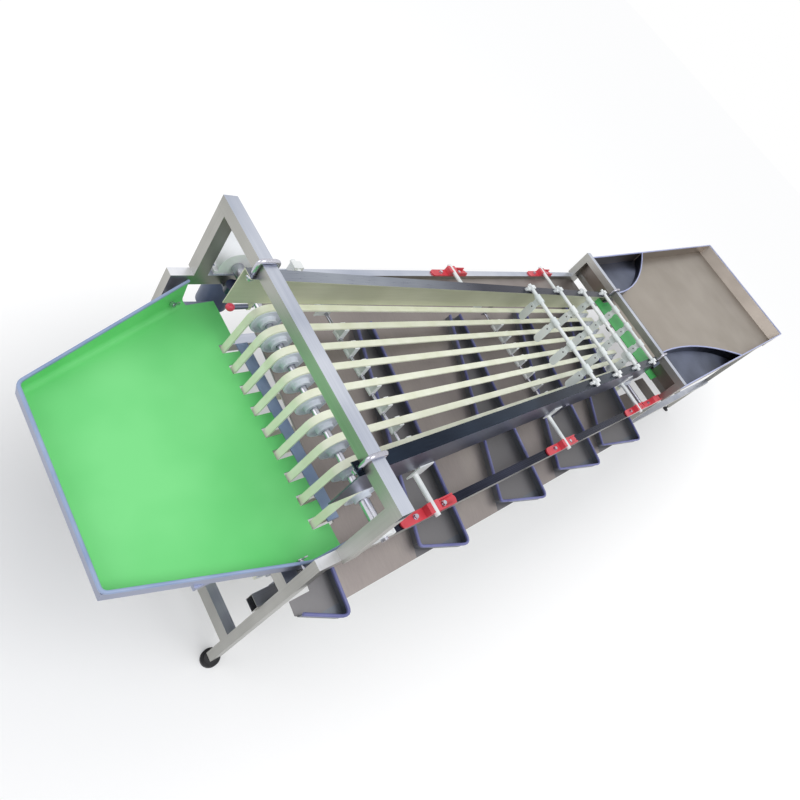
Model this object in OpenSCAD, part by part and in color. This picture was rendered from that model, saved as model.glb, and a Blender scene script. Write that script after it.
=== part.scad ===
/* [Frame] */
// Width over the two sides of the frame
frame_w = 972; // [930:2:1040]
// Distance between the two portals, face to face
portal_pitch = 2300; // [2200:10:2400]
// Height of the long rails' top above the floor
rail_top = 800; // [760:5:860]
// Outside size of the square tube
tube = 40; // [38:1:42]
// Wall of the square tube
tube_wall = 1.5; // [1:0.5:3]
// Width of the long rails
rail_w = 30; // [26:1:36]
// Head of the discharge leg that sticks out past the portal
rail_stub = 64; // [60:1:75]
// Height of the discharge crossbar's top above the rails
portal_rise = 280; // [260:5:320]
// How much lower the feed crossbar is
feed_drop = 112; // [90:1:130]
// Height of the lower cross tubes above the floor
cross_z = 165; // [120:5:220]
// Depth of the lower cross tubes
cross_h = 60; // [50:1:70]
// Height of the side stretchers above the floor
stretcher_z = 440; // [420:5:460]
// Clear height under the legs for the levelling feet
foot_h = 45; // [40:1:60]

/* [Belts] */
// Number of sorting belts on each side of the middle one
belt_pairs = 4; // [2:1:4]
// Centre line of the belts, measured from the frame's centre
belt_y = -42; // [-60:1:-20]
// Belt spacing at the discharge end, where the gaps are widest
pitch_wide = 73.6; // [70:0.1:76]
// Belt spacing at the feed end
pitch_narrow = 59.2; // [56:0.1:64]
// Belt width
belt_w = 23; // [18:1:26]
// Belt thickness
belt_t = 6.3; // [5:0.1:8]
// Radius of the pulleys' running face
pulley_r = 50; // [46:1:54]
// Diameter of the drive and idler shafts
shaft_d = 22; // [18:1:25]
// Distance of the drive shaft from the discharge portal
drive_x = 121; // [110:1:130]
// Height of the drive shaft's centre above the rails
bearing_h = 33; // [30:1:40]
// Fall of the sorting run between its two pulleys
belt_fall = 110; // [90:1:125]
// Distance of the feed idler ahead of the feed portal
feed_idler_gap = 85; // [80:1:100]
// Distance of the lower discharge idler behind the drive shaft
lower_idler_back = 62; // [50:1:75]
// Height of the lower discharge idler above the floor
lower_idler_z = 380; // [370:1:400]
// Height of the lower feed idler above the floor
lower_feed_z = 420; // [410:1:430]

/* [Side plates] */
// Half the space between the plates at the discharge end
plate_half_wide = 312; // [308:1:330]
// Half the space between the plates at the feed end
plate_half_narrow = 256; // [252:1:264]
// Height of a side plate
plate_h = 142; // [130:1:150]
// Width of a plate's top flange
flange_w = 40; // [36:1:44]
// Thickness of the plates
plate_t = 3; // [2:0.5:4]

/* [Flaps] */
// Distance of the first flap rod from the discharge portal
rod_first_x = 1378; // [1330:1:1400]
// Spacing of the flap rods
rod_pitch = 269; // [255:1:272]
// Diameter of the flap rods
flap_rod_d = 18; // [14:1:20]
// Length of a flap, from its rod's centre to its tip
flap_len = 136; // [120:1:138]
// Width of a flap's tongue
flap_w = 38; // [30:1:40]

/* [Deck and outlets] */
// Height of the deck on the frame's centre plane
deck_z = 712; // [706:1:716]
// Slope of the deck towards the outlet side, in degrees
deck_angle = 8.5; // [7.5:0.1:9.5]
// Reach of the deck on the outlet side
deck_near = 558; // [550:1:570]
// Length of a spout past the deck's edge
spout_len = 46; // [40:1:60]
// Spacing of the outlets
outlet_pitch = 510; // [500:1:510]
// Width of the first outlet at its lip
outlet_w = 140; // [130:1:150]
// How much wider each next outlet is
outlet_step = 75; // [60:1:76]
// Height of the chute walls
chute_h = 30; // [25:1:35]

/* [Discharge tray] */
// Length of the tray in front of the belts
tray_len = 535; // [500:5:560]
// Height of the tray's floor at the belts
tray_z = 695; // [690:1:700]
// Fall of the tray towards its outer edge, in degrees
tray_angle = 4.4; // [3:0.1:5]
// Height of the tray's low rims
tray_rim = 45; // [40:1:50]
// Height of the tray's far rim at the frame
tray_rim_far = 96; // [80:1:100]

/* [Feed tray] */
// Length of the feed tray's floor
feed_len = 2031; // [1900:10:2100]
// Rise of the feed tray towards its back, in degrees
feed_angle = 7.1; // [6:0.1:7.5]
// Height of the feed tray's rims
feed_rim = 83; // [75:1:84]
// Height of the feed tray's front lip above the rails
feed_lip_h = 29; // [28:1:33]

/* [Hidden] */
$fn = 48;

// Clearances: a seat that only rests, and a shaft that runs in its bore
seat = 0.3;
run_fit = 0.05;

// Frame
half_w = frame_w / 2;
inner_y = half_w - tube;
rail_h = tube;
rail_bottom = rail_top - rail_h;
discharge_top = rail_top + portal_rise;
feed_top = discharge_top - feed_drop;
leg_inset = rail_stub - tube;
discharge_leg_x = -rail_stub;
feed_leg_x = portal_pitch + rail_stub;
rail_end = feed_leg_x + tube;
cross_w = 30;
cross_wall = 2;
deck_slope = tan(deck_angle);

// Belt loop: the four pulley centres and the running radii
belt_gap = 0.7;
belt_in = pulley_r + belt_gap;
belt_out = belt_in + belt_t;
drive_z = rail_top + bearing_h;
feed_idler_x = portal_pitch - feed_idler_gap;
run_len = feed_idler_x - drive_x;
run_angle = atan(belt_fall / run_len);
loop_centres = [[drive_x, drive_z], [feed_idler_x, drive_z - belt_fall],
    [feed_idler_x, lower_feed_z], [drive_x - lower_idler_back, lower_idler_z]];
shaft_r = shaft_d / 2;
pulley_w = belt_w + 2;
hub_r = 25;
hub_w = 12;

// Side plates
plate_top = discharge_top - tube - seat;
plate_slope = atan(feed_drop / portal_pitch);
plate_yaw = atan((plate_half_wide - plate_half_narrow) / portal_pitch);
plate_start = 20;
web_end = portal_pitch - 50;
flange_end = portal_pitch + tube + 18;
tongue_w = 24;

// U-bolts
u_bolt_r = 7;
u_bolt_gap = 1;
u_bolt_off = u_bolt_r + u_bolt_gap;

// Flap rods
flap_rod_r = flap_rod_d / 2;
collar_r = 15;
collar_w = 43;
clamp_base = 2;

// Stand-off rods and their brackets
stand_off_x = [335, 1145, 1930];
stand_off_r = 9;
bracket_len = 240;
bracket_w = 34;
bracket_t = 6;
stand_off_z = rail_top + bracket_t + 20;
last_bracket_x = portal_pitch - 125;
bolt_off = 62;
guide_x = [345, 1245];
support_r = 6;
support_drop = 50;

// Deck
deck_t = 2;
deck_left = 130;
deck_right = feed_idler_x - belt_out - 38;
deck_far = (inner_y - seat) / cos(deck_angle);
deck_end = portal_pitch - 10;
outlet_first = 50;
outlet_far = 255;
throat_w = 65;
wall_t = 3;
edging_w = 9;
edging_h = 12;
lip_y = deck_near + spout_len;
lip_left = deck_near - 28;
bearer_w = 40;
bearer_h = 20;

// Discharge tray
tray_x = 88;
sheet_t = 2;
mat_t = 3;
slot_w = 32;
slot_len = 51;
strip_w = 37;
bead_w = 8;
bead_h = 10;
tray_bar = 40;
tray_outline = [[-tray_len, -304], [-110, -437], [0, -431], [0, 431], [-92, 440], [-tray_len, 219]];
bearer_top = tray_z - (tray_x - discharge_leg_x) * tan(tray_angle)
    - (tray_bar + sheet_t) / cos(tray_angle) - seat;

// Feed tray
feed_lip_x = portal_pitch - 15;
feed_lip_z = rail_top + feed_lip_h;
feed_wall_u = (portal_pitch + tube + 22 - feed_lip_x) / cos(feed_angle);
back_lean = 65;
open_far = 214;
open_near = -300;
sill_x = feed_leg_x;
sill_h = feed_lip_h + (sill_x - feed_lip_x) * tan(feed_angle) - sheet_t / cos(feed_angle) - seat;
rear_leg_x = 4200;
rear_tube_top = feed_lip_z + (rear_leg_x - feed_lip_x) * tan(feed_angle)
    - sheet_t / cos(feed_angle) - seat;

// Drive unit on the far rail
gear_y = 532;
gear_r = 54;
gear_in = 44;
gear_front = inner_y + 6;
gear_back = gear_y + 33;
wheel_r = 36;
wheel_w = 20;
worm_r = 11;
worm_gap = 1;
sleeve_r = 19;
worm_x = drive_x + wheel_r + worm_r + worm_gap;
worm_box_r = 24;
motor_r = 50;
motor_top = rail_bottom + 12;
motor_h = 205;

// The whole machine is centred on its own plan
x_min = tray_x - (tray_len + bead_w / 2) * cos(tray_angle) - (tray_rim + bead_h / 2) * sin(tray_angle);
x_max = feed_lip_x + (feed_len + back_lean + bead_w / 2) * cos(feed_angle)
    - (feed_rim - bead_h / 2) * sin(feed_angle);
y_min = strip_reach(chute_rim(4), edging_w) * cos(deck_angle)
    - (chute_h + edging_h / 2) * sin(deck_angle);
y_max = gear_y + motor_r;
mid_x = (x_min + x_max) / 2;
mid_y = (y_min + y_max) / 2;

function belt_pitch(x) = pitch_wide - (pitch_wide - pitch_narrow) * (x - drive_x) / run_len;
function belt_line(x, k) = belt_y + k * belt_pitch(x);
function belt_top(x) = drive_z + belt_out / cos(run_angle) - (x - drive_x) * tan(run_angle);
function plate_z(x) = plate_top - x * tan(plate_slope);
function plate_half(x) = plate_half_wide - x * tan(plate_yaw);
function deck_at(y) = deck_z + y * deck_slope;
function outlet_right(k) = outlet_first + k * outlet_pitch;
function outlet_width(k) = outlet_w + k * outlet_step;
function outlet_left(k, y) = outlet_right(k) - throat_w
    - (outlet_width(k) - throat_w) * (outlet_far - y) / (outlet_far + lip_y);
function bend(a, b, c, n) = [for (i = [0:n]) let (t = i / n)
    a * (1 - t) * (1 - t) + b * 2 * t * (1 - t) + c * t * t];

// Moves a piece from the frame's plan to the centre of the whole machine
module place() {
    translate([-mid_x, -mid_y, 0]) children();
}

// Square or oblong hollow tube along X from the origin, both ends open
module tube_x(l, w, h, t) {
    difference() {
        cube([l, w, h]);
        translate([-1, t, t]) cube([l + 2, w - 2 * t, h - 2 * t]);
    }
}

module tube_y(l, w, h, t) {
    difference() {
        cube([w, l, h]);
        translate([t, -1, t]) cube([w - 2 * t, l + 2, h - 2 * t]);
    }
}

module tube_z(l, w, d, t) {
    difference() {
        cube([w, d, l]);
        translate([t, t, -1]) cube([w - 2 * t, d - 2 * t, l + 2]);
    }
}

module rod_y(r, l) {
    rotate([-90, 0, 0]) cylinder(r = r, h = l);
}

module both_sides() {
    children();
    mirror([0, 1, 0]) children();
}

// Flat strip of width w along a list of plan points, with mitred corners
function way(a, b) = (b - a) / norm(b - a);
function side_step(points, i) = let (n = len(points) - 1,
    u = i == 0 ? way(points[0], points[1]) : way(points[i - 1], points[i]),
    v = i == n ? u : way(points[i], points[i + 1]), m = [-u[1] - v[1], u[0] + v[0]])
    m / (1 + u[0] * v[0] + u[1] * v[1]);

function strip_reach(points, w) = min([for (i = [0:len(points) - 1])
    points[i][1] - abs(side_step(points, i)[1]) * w / 2]);

module strip(points, w) {
    n = len(points) - 1;
    polygon(concat([for (i = [0:n]) points[i] + side_step(points, i) * w / 2],
        [for (i = [n:-1:0]) points[i] - side_step(points, i) * w / 2]));
}

module deck_frame() {
    translate([0, 0, deck_z]) rotate([deck_angle, 0, 0]) children();
}

module tray_frame() {
    translate([tray_x, 0, tray_z]) rotate([0, -tray_angle, 0]) children();
}

module feed_frame() {
    translate([feed_lip_x, 0, feed_lip_z]) rotate([0, -feed_angle, 0]) children();
}

// Side plate frame: origin at the top outer edge of the web over the discharge portal's face
module plate_frame(side) {
    translate([0, belt_y, plate_top]) mirror([0, side < 0 ? 1 : 0, 0])
        translate([0, plate_half_wide, 0]) rotate([0, plate_slope, -plate_yaw]) children();
}

// Frame pieces
module rail(side) {
    translate([0, side > 0 ? inner_y : -inner_y - rail_w, rail_bottom])
        tube_x(rail_end, rail_w, rail_h, tube_wall);
}

module near_rail() {
    place() color("silver") rail(-1);
}

module far_rail() {
    place() color("silver") rail(1);
}

module discharge_crossbar() {
    place() color("silver") translate([0, -half_w, discharge_top - tube])
        tube_y(frame_w, tube, tube, tube_wall);
}

module feed_crossbar() {
    place() color("silver") translate([portal_pitch, -half_w, feed_top - tube])
        tube_y(frame_w, tube, tube, tube_wall);
}

module portal_uprights() {
    place() color("silver") both_sides() {
        translate([0, inner_y, rail_top]) tube_z(portal_rise - tube, tube, tube, tube_wall);
        translate([portal_pitch, inner_y, rail_top])
            tube_z(portal_rise - feed_drop - tube, tube, tube, tube_wall);
    }
}

// A leg is an oblong tube with a drilled end plate for the foot's stem
module leg(x, top) {
    translate([x, inner_y, foot_h]) {
        tube_z(top - foot_h, tube, rail_w, tube_wall);
        difference() {
            translate([tube_wall / 2, tube_wall / 2, 0]) cube([tube - tube_wall, rail_w - tube_wall, 5]);
            translate([tube / 2, rail_w / 2, -1]) cylinder(r = foot_stem_r + run_fit, h = 7);
        }
    }
}

// The closed head of a discharge leg, which the rail butts against
module leg_head() {
    translate([-rail_stub, inner_y, rail_bottom]) {
        tube_x(rail_stub, rail_w, rail_h, tube_wall);
        translate([0, tube_wall / 2, tube_wall / 2]) cube([3, rail_w - tube_wall, rail_h - tube_wall]);
    }
}

foot_stem_r = 8;
foot_pad_r = 30;

module legs() {
    place() color("silver") both_sides() {
        leg(discharge_leg_x, rail_bottom);
        leg_head();
        leg(feed_leg_x, rail_bottom);
        leg(rear_leg_x, rear_tube_top - tube);
    }
}

module cross_tubes() {
    place() color("silver") {
        translate([discharge_leg_x, -inner_y, cross_z])
            tube_y(2 * inner_y, cross_w, cross_h, cross_wall);
        translate([feed_leg_x, -inner_y, cross_z]) tube_y(2 * inner_y, cross_w, cross_h, cross_wall);
        translate([rear_leg_x, -inner_y, cross_z]) tube_y(2 * inner_y, cross_w, cross_h, cross_wall);
        translate([discharge_leg_x, -inner_y, bearer_top - 50])
            tube_y(2 * inner_y, tube, 50, tube_wall);
        translate([sill_x, -half_w, rail_top]) tube_y(frame_w, tube, sill_h, tube_wall);
        translate([rear_leg_x, -half_w, rear_tube_top - tube]) tube_y(frame_w, tube, tube, tube_wall);
    }
}

module side_stretchers() {
    place() color("silver") both_sides() {
        translate([-rail_stub - 12, inner_y - tube, stretcher_z])
            tube_x(rail_end + rail_stub + 20, tube, tube, tube_wall);
        translate([rail_end, inner_y, stretcher_z])
            tube_x(rear_leg_x - rail_end, tube, tube, tube_wall);
    }
}

module levelling_feet() {
    place() color("dimgray") both_sides() for (x = [discharge_leg_x, feed_leg_x, rear_leg_x])
        translate([x + tube / 2, inner_y + rail_w / 2, 0]) {
            cylinder(r = foot_pad_r, h = 10);
            translate([0, 0, 10]) cylinder(r1 = 20, r2 = 12, h = 8, $fn = 48);
            cylinder(r = foot_stem_r, h = foot_h + 30);
            translate([0, 0, foot_h - 9]) cylinder(r = 13, h = 9, $fn = 6);
        }
}

// Discharge tray: its rim runs from the far leg round the outer edge to the near leg
tray_path = [for (i = [4, 5, 0, 1, 2]) tray_outline[i]];
tray_far_len = norm(tray_path[0] - tray_path[1]);
tray_far_turn = atan2(tray_path[0][1] - tray_path[1][1], tray_path[0][0] - tray_path[1][0]);

// The far rim's rising band between two heights above and below its own line
module tray_far_band(low, high, w) {
    translate([tray_path[1][0], tray_path[1][1], 0]) rotate([0, 0, tray_far_turn])
        translate([0, w / 2, 0]) rotate([90, 0, 0]) linear_extrude(w)
            polygon([[0, low < 0 ? tray_rim + low : 0], [tray_far_len, low < 0 ? tray_rim_far + low : 0],
                [tray_far_len, tray_rim_far + high], [0, tray_rim + high]]);
}

module tray_walls() {
    drop = bead_h / 2 + seat;
    difference() {
        union() {
            translate([0, 0, -sheet_t]) linear_extrude(tray_rim - drop + sheet_t)
                strip(tray_path, sheet_t);
            tray_far_band(0, -drop, sheet_t);
        }
        rotate([0, tray_angle, 0]) translate([wing_x - tray_x, -half_w, wing_z - tray_z])
            rod_y(5.5, frame_w);
    }
}

module tray_slots(depth, h) {
    for (k = [-belt_pairs:belt_pairs])
        translate([-slot_len, belt_line(tray_x - slot_len / 2, k) - slot_w / 2, -depth])
            cube([slot_len + (h > depth ? 1 : 0), slot_w, h]);
}

module discharge_tray() {
    place() color("silver") tray_frame() {
        difference() {
            union() {
                translate([0, 0, -sheet_t]) linear_extrude(sheet_t) polygon(tray_outline);
                translate([-1, belt_y - strip_half, -sheet_t]) cube([strip_w + 1, 2 * strip_half, sheet_t]);
            }
            for (k = [-belt_pairs:belt_pairs])
                translate([-slot_len, belt_line(tray_x - slot_len / 2, k) - slot_w / 2, -sheet_t - 1])
                    cube([slot_len, slot_w, sheet_t + 2]);
        }
        tray_walls();
        for (y = [belt_y - 208, belt_y + 208]) translate([-tray_len + 60, y - tray_bar / 2, 0])
            translate([0, 0, -sheet_t - tray_bar])
                tube_x(tray_len - slot_len - 66, tray_bar, tray_bar, tube_wall);
        translate([-363, -366, -sheet_t - 20]) cube([50, 650, 20.2]);
    }
}

strip_half = belt_pairs * pitch_wide + 14;

module tray_mat() {
    inset = sheet_t / 2 + 0.2;
    place() color("limegreen") tray_frame() {
        difference() {
            linear_extrude(mat_t) intersection() {
                polygon(tray_outline);
                polygon([[-tray_len + inset, -302.5], [-110, -435.6], [0, -429.6], [0, 429.6],
                    [-92, 438.6], [-tray_len + inset, 217.5]]);
            }
            tray_slots(1, mat_t + 2);
        }
    }
}

module tray_edging() {
    rise = (tray_rim_far - tray_rim) / tray_far_len;
    place() color("lightsteelblue") tray_frame() {
        translate([0, 0, tray_rim - bead_h / 2]) linear_extrude(bead_h)
            strip([tray_path[1] + [0, bead_w / 2], tray_path[2], tray_path[3], tray_path[4]], bead_w);
        translate([tray_path[1][0], tray_path[1][1], 0]) rotate([0, 0, tray_far_turn])
            translate([0, bead_w / 2, tray_rim]) rotate([90, 0, 0]) linear_extrude(bead_w)
                polygon([[-2, -2 * rise - bead_h / 2], [tray_far_len, tray_far_len * rise - bead_h / 2],
                    [tray_far_len, tray_far_len * rise + bead_h / 2], [-2, -2 * rise + bead_h / 2]]);
        translate([0.2, belt_y - strip_half, 0]) cube([strip_w - 0.2, 2 * strip_half, mat_t]);
    }
}

// Deck, chutes and spouts: one large sheet, and two panels beside the belts at its feed end
module sorting_deck() {
    place() color("rosybrown") deck_frame() translate([0, 0, -deck_t]) for (y = [[-450, -335],
        [262, deck_far]]) translate([deck_right + seat, y[0], 0])
            cube([deck_end - deck_right - seat, y[1] - y[0], deck_t]);
    place() color("rosybrown") deck_frame() translate([0, 0, -deck_t]) linear_extrude(deck_t)
        polygon([[190, deck_far], [190, 285], [deck_left, 285], [deck_left, -352], [-15, -402],
            [-15, -half_w - 8], [-77, -half_w - 8], [-77, -lip_left - 3], [-33, -deck_near],
            [deck_right, -deck_near],
            [deck_right, deck_far]]);
    place() color("rosybrown") for (y = [[-inner_y + seat, -306], [214, inner_y - seat]])
        translate([portal_pitch - 65, y[0], rail_top - 38]) cube([125, y[1] - y[0], 2]);
}

function bearer_xs() = concat([deck_left + 30], [for (k = [1:4]) outlet_right(k) + 28]);

module deck_bearers() {
    place() color("silver") {
        deck_frame() for (x = bearer_xs())
            translate([x - bearer_w / 2, -deck_near + 20, -deck_t - bearer_h])
                tube_y((x < 190 ? 285 : deck_far - 5) + deck_near - 20, bearer_w, bearer_h, 1.5);
        for (x = bearer_xs()) difference() {
            translate([x - 15, -inner_y - rail_w / 2 - 2, deck_at(-inner_y - rail_w / 2) - 6])
                cube([30, 4, rail_bottom - deck_at(-inner_y - rail_w / 2) + 6]);
            deck_frame() translate([x - 20, -600, -30]) cube([40, 400, 30]);
        }
    }
}

// A spout's front rim runs slantwise from its left corner to its long right corner
function spout_front(k) = let (p = [outlet_left(k, -lip_left), -lip_left], q = [outlet_right(k), -lip_y],
    r = [outlet_right(k), -deck_near], s = [outlet_left(k, outlet_far), outlet_far])
    concat(k == 0 ? [p + 14 * way(p, q)] : bend(p + 12 * way(p, s), p, p + 12 * way(p, q), 3),
        bend(q + 34 * way(q, p), q, q + 30 * way(q, r), 6), [r]);

function chute_far_right(k) = k == 0 ? -420 : outlet_far;
chute_wall_h = chute_h - edging_h / 2 - seat;

module chute_wall_plan(w) {
    for (k = [0:4]) {
        a = [outlet_left(k, outlet_far), outlet_far];
        b = [outlet_left(k, -lip_left), -lip_left];
        if (k > 0) strip([a, b + (12 + 2 * seat) * way(b, a)], w);
        strip([[outlet_right(k), chute_far_right(k)], [outlet_right(k), -deck_near]], w);
    }
}

module chute_walls() {
    place() color("slategray") deck_frame() linear_extrude(chute_wall_h) chute_wall_plan(wall_t);
}

module outlet_spouts() {
    place() color("slategray") deck_frame() for (k = [0:4]) {
        translate([0, 0, -deck_t]) linear_extrude(deck_t) difference() {
            polygon(spout_front(k));
            translate([-200, -deck_near]) square([3000, 200]);
        }
        linear_extrude(chute_wall_h) strip(spout_front(k), wall_t);
    }
}

function chute_rim(k) = concat(k == 0 ? [] : [[outlet_left(k, outlet_far), outlet_far]], spout_front(k),
    [[outlet_right(k), chute_far_right(k)]]);

module chute_edging() {
    place() color("darkslateblue") deck_frame() translate([0, 0, chute_h - edging_h / 2])
        linear_extrude(edging_h) for (k = [0:4]) strip(chute_rim(k), edging_w);
}

// Side plates
function u_bolt_y(x) = plate_half(x) - flange_w / 2;

module side_plate(side) {
    difference() {
        plate_frame(side) union() {
            translate([-plate_start, -plate_t, -plate_h]) cube([web_end + plate_start, plate_t, plate_h]);
            translate([-plate_start, -flange_w, -plate_t]) cube([web_end + plate_start, flange_w, plate_t]);
            translate([web_end - 1, -flange_w / 2 - tongue_w / 2, -plate_t])
                cube([flange_end - web_end + 1, tongue_w, plate_t]);
        }
        for (x = [0, portal_pitch]) for (dx = [-u_bolt_off, tube + u_bolt_off])
            translate([x + dx, belt_y + side * u_bolt_y(x), plate_z(x) - 20])
                cylinder(r = u_bolt_r + 0.8, h = 40);
    }
}

module near_side_plate() {
    place() color("slategray") side_plate(-1);
}

module far_side_plate() {
    place() color("slategray") {
        side_plate(1);
        difference() {
            translate([knob_x + 44, knob_y - 4, knob_z - 12]) cube([12, 8, 31]);
            translate([knob_x + 40, knob_y, knob_z]) rotate([0, 90, 0]) cylinder(r = 4 + run_fit, h = 20);
        }
    }
}

module u_bolt(x, y, top) {
    for (dx = [-u_bolt_off, tube + u_bolt_off]) {
        translate([x + dx, y, top - tube - 24]) cylinder(r = u_bolt_r, h = tube + 24 + u_bolt_off);
        translate([x + dx, y, top - tube - 16]) cylinder(r = 12, h = 8, $fn = 6);
        translate([x + dx, y, top + u_bolt_off]) sphere(r = u_bolt_r, $fn = 32);
    }
    translate([x - u_bolt_off, y, top + u_bolt_off]) rotate([0, 90, 0])
        cylinder(r = u_bolt_r, h = tube + 2 * u_bolt_off);
}

module plate_u_bolts() {
    place() color("silver") for (s = [-1, 1]) {
        u_bolt(0, belt_y + s * u_bolt_y(0), discharge_top);
        u_bolt(portal_pitch, belt_y + s * u_bolt_y(portal_pitch), feed_top);
    }
}

// Brackets that hold the stand-off rods on the rails
module rail_bracket(x, side, with_rod) {
    translate([x, side * (inner_y + rail_w / 2), rail_top]) difference() {
        union() {
            linear_extrude(bracket_t) {
                square([bracket_len - bracket_w, bracket_w], center = true);
                for (s = [-1, 1]) translate([s * (bracket_len - bracket_w) / 2, 0]) circle(d = bracket_w);
            }
            translate([-24, -bracket_w / 2, 0]) cube([48, bracket_w, stand_off_z - rail_top + 6]);
            translate([24, bracket_w / 2 - 5, 0]) cube([bracket_len / 2 - 44, 5, 22]);
            translate([24, -bracket_w / 2, 0]) cube([bracket_len / 2 - 44, 5, 22]);
        }
        if (with_rod) translate([0, -bracket_w, stand_off_z - rail_top])
            rod_y(stand_off_r + run_fit, 2 * bracket_w);
        for (s = [-1, 1]) translate([s * bolt_off, 0, -1]) cylinder(r = 5.5, h = bracket_t + 2);
    }
}

// The first rod on the far side has a small clamp in place of a bracket
function bracket_sides(x) = x == stand_off_x[0] || x == last_bracket_x ? [-1] : [-1, 1];

module rail_brackets() {
    place() color("crimson") for (x = concat(stand_off_x, [last_bracket_x]))
        for (s = bracket_sides(x)) rail_bracket(x, s, x != last_bracket_x);
}

module bracket_bolts() {
    for (x = concat(stand_off_x, [last_bracket_x]))
        for (s = bracket_sides(x)) for (e = [-1, 1])
            translate([x + e * bolt_off, s * (inner_y + rail_w / 2), rail_top + bracket_t]) {
                cylinder(r = 8.5, h = 2);
                translate([0, 0, 2]) cylinder(r = 7.5, h = 7, $fn = 6);
            }
}

wing_x = discharge_leg_x + tube / 2;
wing_z = tray_z + 17;

// One wing bolt from the leg's inner face through the tray's wall
module wing_bolt(len) {
    rotate([180, 0, 0]) mirror([0, 0, 1]) {
        rod_y(4, len);
        translate([0, len - 11, 0]) rod_y(8, 6);
        translate([-14, len - 5, 4]) cube([10, 3, 12]);
        translate([4, len - 5, 4]) cube([10, 3, 12]);
    }
}

module tray_wing_bolts() {
    translate([wing_x, inner_y, wing_z]) wing_bolt(43);
    translate([wing_x, -inner_y, wing_z]) mirror([0, 1, 0]) wing_bolt(32);
}

module mounting_bolts() {
    place() color("silver") {
        bracket_bolts();
        tray_wing_bolts();
    }
}

// A stand-off rod runs from its rail bracket to a plate welded on the side plate
module stand_off(x, side) {
    y_web = plate_half(x);
    y_out = side > 0 ? inner_y + rail_w + 14 - belt_y : inner_y + rail_w + 14 + belt_y;
    translate([x, belt_y, 0]) mirror([0, side < 0 ? 1 : 0, 0]) {
        translate([0, y_web + 5.2, stand_off_z]) rod_y(stand_off_r, y_out - y_web - 5.2);
        translate([-30, y_web + 1.2, stand_off_z - stand_off_r]) cube([60, 4.2, 2 * stand_off_r + 56]);
    }
}

module stand_off_rods() {
    place() color("gainsboro") difference() {
        for (x = stand_off_x) for (s = [-1, 1]) stand_off(x, s);
        for (s = [-1, 1]) plate_frame(s) translate([-plate_start, -plate_t - 30, -plate_h - 200])
            cube([web_end, plate_t + 30.2, plate_h + 200]);
    }
}

// Rods under the sorting run, hung from the side plates, with a forked guide for each belt
function support_z(x) = belt_top(x) - support_drop;

module belt_supports() {
    place() color("gainsboro") translate([0, belt_y, 0]) {
        reach = plate_half(guide_x[0]) + 0.9;
        translate([guide_x[0], -reach, support_z(guide_x[0])]) rod_y(support_r, 2 * reach);
        both_sides() {
            x = guide_x[1];
            half = plate_half(x);
            translate([x, -1, support_z(x)]) rod_y(support_r, half + 9);
            translate([x - 15, half + 0.7, support_z(x) - 12])
                cube([30, 5, plate_z(x) - plate_h - support_z(x) + 12 + 40]);
        }
    }
}

module belt_guides() {
    ear = 4;
    place() color("white") for (x = guide_x) for (k = [-belt_pairs + 1:belt_pairs - 1])
        translate([x, belt_line(x, k), support_z(x)]) difference() {
            union() {
                translate([0, -belt_w / 2 - ear - 0.8, 0]) rod_y(support_r + 5, belt_w + 2 * ear + 1.6);
                for (s = [-1, 1]) translate([-9, s * (belt_w / 2 + ear / 2 + 0.8) - ear / 2, 0])
                    cube([18, ear, support_drop - 4]);
                translate([-7, -belt_w / 2 - 1, 0]) cube([14, belt_w + 2, support_drop - belt_t - 2.6]);
            }
            translate([0, -belt_w, 0]) rod_y(support_r + run_fit, 2 * belt_w);
        }
}

// Flap rods, their clamps and the flaps
function rod_x(i) = rod_first_x + i * rod_pitch;
function rod_z(i) = plate_z(rod_x(i)) + clamp_base + flap_rod_r;

module flap_rods() {
    place() color("white") for (i = [0:3]) {
        half = plate_half(rod_x(i)) + 4;
        translate([rod_x(i), belt_y - half, rod_z(i)]) rod_y(flap_rod_r, 2 * half);
    }
}

module far_rail_clamp() {
    translate([stand_off_x[0], inner_y + rail_w / 2, rail_top]) difference() {
        translate([-18, -rail_w / 2, 0]) cube([36, rail_w, stand_off_z - rail_top + stand_off_r + 4]);
        translate([0, -rail_w, stand_off_z - rail_top]) rod_y(stand_off_r + run_fit, 2 * rail_w);
    }
}

module rod_clamps() {
    place() color("whitesmoke") far_rail_clamp();
    place() color("whitesmoke") for (i = [0:3]) for (s = [-1, 1])
        translate([rod_x(i), belt_y + s * (plate_half(rod_x(i)) - flange_w / 2 + 2), 0]) difference() {
            union() {
                translate([-14, -9, plate_z(rod_x(i)) + 0.9]) cube([28, 18, 2 * flap_rod_r + 6]);
                translate([-44, -6, plate_z(rod_x(i)) + 2.2]) cube([31, 12, 9]);
                translate([-38, 0, plate_z(rod_x(i)) + 10]) cylinder(r = 5, h = 12);
            }
            translate([0, -20, rod_z(i)]) rod_y(flap_rod_r + run_fit, 40);
        }
}

module flap(row, k) {
    place() color("whitesmoke") translate([rod_x(row), belt_line(rod_x(row), k), rod_z(row)])
        difference() {
            union() {
                translate([0, -collar_w / 2, 0]) rod_y(collar_r, collar_w);
                translate([-3, -15, -62]) cube([6, 30, 60]);
                translate([-7, 0, -flap_len + flap_w / 2]) rotate([90, 0, 90]) linear_extrude(4) {
                    circle(d = flap_w);
                    translate([-flap_w / 2, 0]) square([flap_w, flap_len - flap_w / 2 - 34]);
                }
                translate([-7.5, 0, -48]) rotate([0, 90, 0]) cylinder(r = 3.5, h = 12);
            }
            translate([0, -collar_w, 0]) rod_y(flap_rod_r + run_fit, 2 * collar_w);
        }
}

// Sorting belts: closed loops round four pulleys
arc_steps = 12;

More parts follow.
